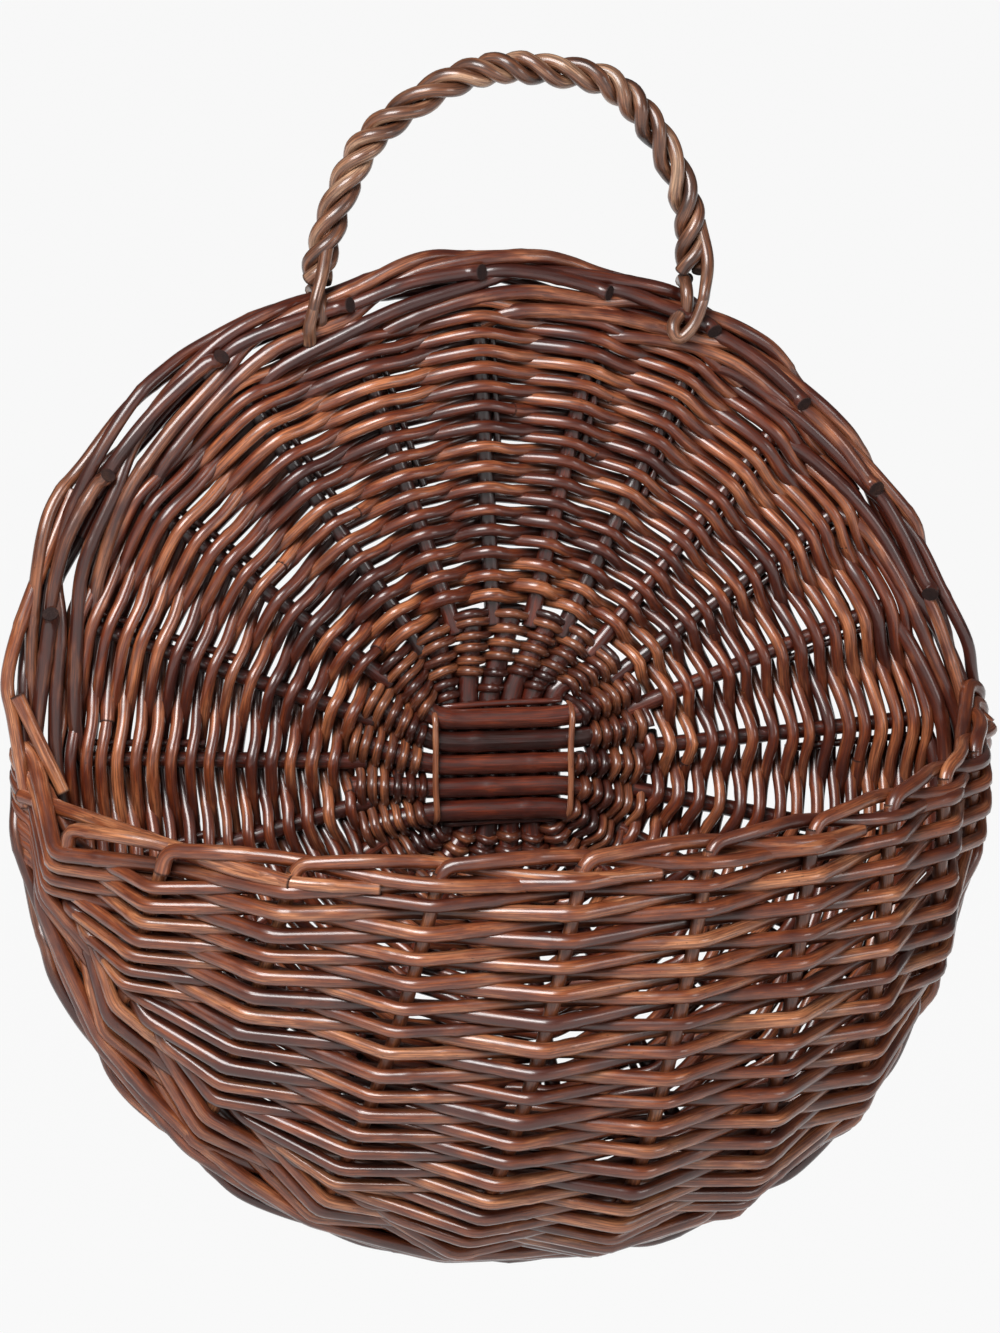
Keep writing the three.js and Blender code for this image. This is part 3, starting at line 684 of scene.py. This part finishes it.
pocket_stake_rods, lower_spokes = [], []
for i in range(pocket_stakes):
    degrees = first_pocket_spoke + i * pocket_spoke_step
    spoke = [on_panel(radius, degrees) for radius in np.linspace(stake_start, stake_end, 9)]
    lower_spokes.append(rod(np.array(spoke), stake_width * 1.02, stake_width))
    route = [on_panel(stake_end - 1 * mm, degrees)]
    for turn in np.linspace(0, math.pi / 2, 4):
        radius = bend_radius - bend_ease * (1 - math.sin(turn))
        route.append(on_panel(radius, degrees, -bend_ease * (1 - math.cos(turn))))
    route += [pocket_point(i / (pocket_stakes - 1), up) for up in np.linspace(0, 1, 22)]
    pocket_stake_rods.append(rod(np.array(route), stake_width, stake_width * 0.85))
pocket_stake_willow = willow("pocket_stake_willow", colour(78, 36, 20), colour(132, 76, 46),
                             colour(176, 118, 80))
rod_piece("pocket_stake_rods", pocket_stake_rods, pocket_stake_willow, "basket",
          [f"pocket_stake_{i:02d}" for i in range(1, 11)], sides=10)
rod_piece("lower_spokes", lower_spokes, stick_willow, "basket", [], sides=12)

# Pocket weaving: single rods woven in front of one stake and behind the next. A few rows follow
# the panel's edge at the pocket's foot. The others follow the rim, and lower down they turn back
# at the last stake that they still reach. At the corners the rods are wound round the border.
pocket_rod = 4.8 * mm
row_pitch = 4.3 * mm
first_row = 4.8 * mm
foot_rise = 2.0 * mm
foot_rows, foot_pitch, foot_share = 6, 3.9 * mm, 0.3
corner_pitch_shares = [0.72, 0.84, 0.95, 1, 1, 1, 1, 1, 1, 1.05]
weave_offset = (stake_width + pocket_rod) / 2 * 0.88
tuck_above, tuck_below = 1 * mm, 3 * mm
drop_jitter = 0.4 * mm
last_stake = pocket_stakes - 1


def stake_line(stake):
    """Drops below the rim and the matching places up a stake, or beside one for a fraction."""
    ups = np.linspace(1, 0, 40)
    line = np.array([pocket_point(stake / last_stake, up) for up in ups])
    steps = np.linalg.norm(np.diff(line, axis=0), axis=1)
    return ups, np.concatenate([[0], np.cumsum(steps)])


steps_between = 4
stake_places = np.arange(0, last_stake * steps_between + 1) / steps_between
stake_lines = {float(stake): stake_line(stake) for stake in stake_places}
stake_lengths = {stake: drops[-1] for stake, (_, drops) in stake_lines.items()}
foot_zones = {stake: min(foot_rows * foot_pitch, length * foot_share)
              for stake, length in stake_lengths.items()}
rooms = {stake: length - foot_rise - foot_zones[stake] for stake, length in stake_lengths.items()}


def on_stake(stake, drop, side):
    """A point of a row beside a stake, outside or inside the pocket, and how fully lit it is
    painted: rows inside get painted shade.
    """
    ups, drops = stake_lines[float(stake)]
    up = float(np.interp(drop, drops, ups))
    across = stake / last_stake
    point = pocket_point(across, up) + pocket_out(across, up) * side * weave_offset
    return np.array((*point, 0.5 + side / 2))


def row_drop(row, stake):
    """How far a row lies below the rim. The rows lie closer together at the left corner."""
    return first_row + row * row_pitch * np.interp(stake, range(pocket_stakes), corner_pitch_shares)


def tucked_end(row, stake, outwards):
    """How a row that can't reach the next stake bends down and tucks in behind the foot rows."""
    place = stake
    while 0 < place < last_stake and rooms[place] > row_drop(row, place):
        place += outwards / steps_between
    over = on_stake(place, rooms[place] - tuck_above, 0.2)
    place = min(max(place + outwards / steps_between, 0), last_stake)
    return [over, on_stake(place, rooms[place] + tuck_below, -0.7)]


def corner_end(share, right):
    """A row's way into the border at a corner. At the left one it stays below the rim's outer
    rods, and all the rows lie close together."""
    degrees = 366 - 20 * share if right else 175 + 13 * share
    out = -2.6 if right else -4.8
    turns = [(147.5, -6.8), (151.0, -3.5), (151.4, 2.0), (147.5, 5.5)]
    points = []
    for radius, depth in turns:
        point = on_panel((radius + out) * mm, degrees - depth * 0.3, depth * mm)
        # The rows get partly painted shade where they run into the border.
        points.append(np.array((*point, 0.7)))
    return points


def woven(reached, drops, row, left_end, right_end):
    """One row as a rod. It kinks in front of every second stake and passes behind the others."""
    corners = [(point, 3) for point in left_end[::-1]]
    for stake in reached:
        side = 1 if (stake + row) % 2 == 0 else -1
        drop = drops[stake] + chance.normal(0, drop_jitter)
        corners.append((on_stake(stake, drop, side), 2.5 if side > 0 else 6))
    corners += [(point, 3) for point in right_end]
    if row % 2:
        corners.reverse()
    width = pocket_rod * chance.uniform(0.86, 1.12)
    route = rounded([point for point, _ in corners], [reach * mm for _, reach in corners])
    return rod(route, width, width * 0.85)


corner_rows = int((rooms[0] - first_row) / (row_pitch * corner_pitch_shares[0])) + 1
wound_rows = corner_rows + foot_rows / 2
first_belly_row, first_floor_row = 11, 22
pocket_rows = {"top": [], "belly": [], "floor": [], "foot": []}
row = 0
reached = list(range(pocket_stakes))
while len(reached) > 1:
    drops = [row_drop(row, stake) for stake in range(pocket_stakes)]
    share = row / wound_rows
    first, last = reached[0], reached[-1]
    left = corner_end(share, False) if first == 0 else tucked_end(row, first, -1)
    right = corner_end(share, True) if last == last_stake else tucked_end(row, last, 1)
    band = "top" if row < first_belly_row else "belly" if row < first_floor_row else "floor"
    pocket_rows[band].append(woven(reached, drops, row, left, right))
    row += 1
    reached = [stake for stake in range(pocket_stakes) if rooms[stake] > row_drop(row, stake)]
for row in range(foot_rows):
    drops = []
    for stake in range(pocket_stakes):
        drops.append(stake_lengths[stake] - foot_rise - foot_zones[stake] * row / foot_rows)
    share = 1 - (row + 1) / foot_rows * (1 - corner_rows / wound_rows)
    ends = corner_end(share, False), corner_end(share, True)
    pocket_rows["foot"].append(woven(range(pocket_stakes), drops, row, *ends))
# Two more rods run along the very foot, where the pocket leaves the panel.
for rise, turn in ((-0.8 * mm, 0), (2.6 * mm, 1)):
    corners = corner_end(1, False)[1::-1]
    for place in stake_places[::2]:
        side = 1.15 if place % 1 == 0 and (place + turn) % 3 else 0.85
        corners.append(on_stake(place, stake_lengths[place] - max(rise, 0), side))
        corners[-1][2] -= max(-rise, 0)
    corners += corner_end(1, True)[:2]
    pocket_rows["foot"].append(rod(rounded(corners, 3 * mm), pocket_rod, pocket_rod * 0.9))

pocket_willow = willow("pocket_willow", colour(66, 24, 12), colour(130, 66, 35),
                       colour(194, 128, 86))
for band, rods in pocket_rows.items():
    rod_piece(f"pocket_{band}_rows", rods, pocket_willow, "basket",
              [f"pocket_weave_{band}"], sides=10)

# Pocket border: the stakes' own ends, kinked over to the right at the rim. Each runs behind
# the next stake, comes out in front of the one after and is cut off there.
trac_rod, least_step = 4.5 * mm, 1 * mm
trac_turns = [(-0.02, 0, -5, 2), (0.03, 0.2, 1.9, 3.4), (0.5, 0.4, 3.6, 8), (1, -4.2, 2.6, 12),
              (1.5, -1.5, -1.6, 12), (2, 4.0, -3.4, 10), (2.6, -0.5, -4.6, 1)]


def rim_out(degrees):
    """The level direction out of the pocket at its rim."""
    along = rim_point(min(degrees + 1, 180)) - rim_point(max(degrees - 1, 0))
    out = np.array((along[1], -along[0], 0))
    return out / np.linalg.norm(out)


def stake_top(count):
    """Where a stake reaches the pocket's rim, also for fractions and past the last stake."""
    across = count / (pocket_stakes - 1)
    lean = top_lean * math.sin(math.pi * min(max(across, 0), 1))
    return min(max(top_first + top_range * across + lean, 0), 180)


def by_rim(degrees, out, rise):
    """A point beside the pocket's rim, so many millimetres outside and above it."""
    return rim_point(degrees) + rim_out(degrees) * out * mm + np.array((0, 0, rise * mm))


corner_start, corner_stop = by_rim(2, 0, 4.2), by_rim(stake_top(1), -3, 2.6)
corner_route = [corner_start, corner_start * 0.5 + corner_stop * 0.5, corner_stop,
                by_rim(stake_top(2), 3, -3.4)]
trac_rods = [rod(rounded(corner_route, 12 * mm), trac_rod * 1.05, trac_rod)]
# Two loose rods come down into the left corner, a short pale one and one along the border.
corner_followers = [((-147.6, -7.5, 26), (-142.6, -9.5, 14.8), (-134.5, -12.5, -3)),
                    ((-129, 1.5, 86), (-138.5, -2.5, 65), (-146.2, -4.5, 46), (-150, -4.2, 30),
                     (-148.4, -6, 18), (-144.5, -7, -8))]
for follower, tint in zip(corner_followers, (0.95, 0.6)):
    trac_rods.append(rod(smooth(panel_centre + np.array(follower) * mm), trac_rod, trac_rod * 0.9,
                         tint))
for i in range(pocket_stakes):
    route, reaches = [], []
    for ahead, out, rise, reach in trac_turns:
        point = by_rim(stake_top(i + ahead), out, rise)
        if not route or np.linalg.norm(point - route[-1]) > least_step:
            route.append(point)
            reaches.append(reach * mm)
    width = trac_rod * chance.uniform(0.95, 1.08)
    if len(route) > 2:
        trac_rods.append(rod(rounded(route, reaches, 5), width, width * 0.9))
rod_piece("pocket_border_rods", trac_rods, pocket_willow, "basket",
          ["pocket_border_front", "pocket_border_back", "pocket_border_top"], sides=12,
          step=1.8 * mm)

# Handle: three slim rods twisted into a rope, bent to an arch over the rim. The strands part
# at its feet and turn round the rim's outer rods.
strand_width = 4.5 * mm
strand_offset = 2.9 * mm
rope_lead = 27 * mm
wanders = [(0.07, 17 * mm), (0.05, 7 * mm)]
loose_share, loose_pitch = 0.12, 11 * mm
hinge = np.array(frame["joints"][0]["pos_m"])
rope_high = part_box("handle_rope")[1]
left_low, left_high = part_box("handle_loop_left")
right_low, right_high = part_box("handle_loop_right")
foot_half = ((right_low.x + right_high.x) - (left_low.x + left_high.x)) / 4
crown = rope_high.z - strand_offset - strand_width / 2 - hinge[2]
arch_shares = [(-0.97, 0.12), (-0.95, 0.2), (-0.9, 0.365), (-0.79, 0.57), (-0.635, 0.752),
               (-0.3, 0.94), (0, 1), (0.3, 0.99), (0.56, 0.936), (0.774, 0.773), (0.906, 0.6),
               (0.985, 0.43), (1.01, 0.25), (1, 0.12)]
arch = smooth([hinge + np.array((x * foot_half, 0, z * crown)) for x, z in arch_shares], 12)
arch_steps = np.linalg.norm(np.diff(arch, axis=0), axis=1)
arch_length = np.concatenate([[0], np.cumsum(arch_steps)])
strands = []
for strand in range(3):
    route = []
    for i, point in enumerate(arch):
        tangent = arch[min(i + 1, len(arch) - 1)] - arch[max(i - 1, 0)]
        tangent /= np.linalg.norm(tangent)
        side = np.array((0, 1, 0))
        up = np.cross(tangent, side)
        wander = sum(share * math.sin(arch_length[i] / pitch) for share, pitch in wanders)
        turn = tau * (arch_length[i] / rope_lead + strand / 3 + wander)
        offset = side * math.cos(turn) + up * math.sin(turn)
        loose = 1 + loose_share * math.sin(arch_length[i] / loose_pitch + 2.1 * strand)
        route.append(point + offset * strand_offset * loose)
    route = np.array(route)
    strands.append(rod(route, strand_width, strand_width * 0.94, tint=0.3 + 0.2 * strand))
handle_willow = willow("handle_willow", colour(36, 15, 8), colour(126, 78, 52),
                       colour(220, 178, 144), gloss=0.36, variety=0.7)
rod_piece("handle_rope_strands", strands, handle_willow, "handle",
          ["handle_rope"], sides=14, step=1.2 * mm, uneven=0.1)
loop_radius, loop_rod = 6.2 * mm, 4.0 * mm
# At each foot one strand runs on down over the front of the rim, and its end is tucked into
# the weaving.
foot_strands = {
    "left": [(-51.5, 0, -42), (-55, -6.5, -54), (-57.6, -9.4, -61.5), (-58.6, -9.2, -66)],
    "right": [(60.5, 0, -42), (62.4, -4, -53), (60.5, -9, -62), (59.4, -9.2, -66.5)]}
tucked_strands = {
    "left": [(-57, -8.6, -59.5), (-58.4, -9.3, -65), (-59.4, -8.6, -70), (-58.6, -4.5, -75)],
    "right": [(61.2, -8, -59.5), (59.9, -9.4, -65), (57, -9.6, -72), (52.6, -9.4, -76),
              (51, -8.4, -72.5), (53.5, -5.8, -69)]}
tucked_rods = []
for side, name in ((-1, "left"), (1, "right")):
    centre = hinge + np.array((side * foot_half, 0, 0))
    loop = []
    for turn in np.linspace(-0.1, 0.98, 28) * tau:
        shift = -side * (1.4 + 0.5 * math.sin(turn)) * mm + turn / tau * 1.2 * mm
        around = np.array((0, -math.sin(turn), math.cos(turn))) * loop_radius
        loop.append(centre + around + np.array((shift, 0, 0)))
    loops = [rod(np.array(loop), loop_rod, loop_rod * 0.9, tint=0.35)]
    thin, thick = loop_rod * 0.8, loop_rod * 1.08
    loops.append(rod(smooth(np.array(foot_strands[name]) * mm), thick, thin, 0.8))
    tucked_rods.append(rod(smooth(np.array(tucked_strands[name]) * mm), thin, thick, 0.8))
    rod_piece(f"handle_loop_{name}_rods", loops, handle_willow, "handle",
              [f"handle_loop_{name}"], sides=12, step=1.2 * mm)
rod_piece("handle_tucked_ends", tucked_rods, handle_willow, "basket", [], sides=12,
          step=1.2 * mm)

# Studio: a pale floor below the hanging basket, a large soft lamp at the upper left, a small one
# at the right, and the camera, a little to the left of the basket and above it.
floor_mesh = bpy.data.meshes.new("floor")
floor_half, floor_level = 40.0, -0.8
floor_white_share, sky_strength = 0.93, 0.1
turns = ((-1, -1), (1, -1), (1, 1), (-1, 1))
corners = [(x * floor_half, y * floor_half, floor_level) for x, y in turns]
floor_mesh.from_pydata(corners, [], [(0, 1, 2, 3)])
floor = linked("floor", floor_mesh)
floor_paint = bpy.data.materials.new("floor_paint")
floor_paint.use_nodes = True
t = Nodes(floor_paint.node_tree)
seen = t.add("ShaderNodeLightPath", output="Is Camera Ray")
glossy = t.add("ShaderNodeLightPath", output="Is Glossy Ray")
through = t.add("ShaderNodeLightPath", output="Is Transmission Ray")
plain = t.add("ShaderNodeBsdfDiffuse", {}, {"Color": (0.9, 0.9, 0.9, 1)})
white = t.add("ShaderNodeEmission", {}, {"Color": (1, 1, 1, 1), "Strength": 1})
share = (seen + glossy + through).math("MINIMUM", 1) * floor_white_share
mixed = t.add("ShaderNodeMixShader", {}, {0: share, 1: plain, 2: white})
t.add("ShaderNodeOutputMaterial", {}, {"Surface": mixed})
floor_mesh.materials.append(floor_paint)

world = bpy.data.worlds.new("studio")
world.use_nodes = True
bpy.context.scene.world = world
t = Nodes(world.node_tree)
seen = t.add("ShaderNodeLightPath", output="Is Camera Ray")
lit = t.add("ShaderNodeBackground", {}, {"Color": (1, 1, 1, 1), "Strength": sky_strength})
back = t.add("ShaderNodeBackground", {}, {"Color": (1, 1, 1, 1), "Strength": 1})
mixed = t.add("ShaderNodeMixShader", {}, {0: seen, 1: lit, 2: back})
t.add("ShaderNodeOutputWorld", {}, {"Surface": mixed})


def lamp(name, place, target, size, power):
    """A square soft lamp that faces a target."""
    light = bpy.data.lights.new(name, "AREA")
    light.size = size
    light.energy = power
    holder = linked(name, light)
    away = np.array(place) - np.array(target)
    holder.location = place
    holder.rotation_euler = (math.acos(away[2] / np.linalg.norm(away)), 0,
                             math.atan2(away[1], away[0]) + math.pi / 2)


aim = tuple(panel_centre)
lamp("key_softbox", (-0.85, -1.3, 0.95), aim, 1.0, 58)
lamp("fill_softbox", (1.3, -1.5, 0.2), aim, 0.7, 8)

camera_turn, camera_rise = math.radians(-11), math.radians(9)
camera_distance = 4.0
pixel, pixels_high = 0.3 * mm, 1333
frame_height = pixels_high * pixel
slath_pixel_y, middle_pixel_y = 762, pixels_high / 2
sensor_height = 24
view = np.array((math.sin(camera_turn) * math.cos(camera_rise),
                 -math.cos(camera_turn) * math.cos(camera_rise), math.sin(camera_rise)))
up = np.array((-math.sin(camera_turn) * math.sin(camera_rise),
               math.cos(camera_turn) * math.sin(camera_rise), math.cos(camera_rise)))
middle = panel_centre + up * (slath_pixel_y - middle_pixel_y) * pixel
lens = bpy.data.cameras.new("camera")
lens.sensor_fit = "VERTICAL"
lens.sensor_height = sensor_height
lens.lens = sensor_height * camera_distance / frame_height
lens.clip_end = 100
camera = linked("camera", lens)
camera.location = tuple(middle + view * camera_distance)
camera.rotation_euler = (math.pi / 2 - camera_rise, 0, camera_turn)
bpy.context.scene.camera = camera
bpy.context.scene.view_settings.view_transform = "Standard"
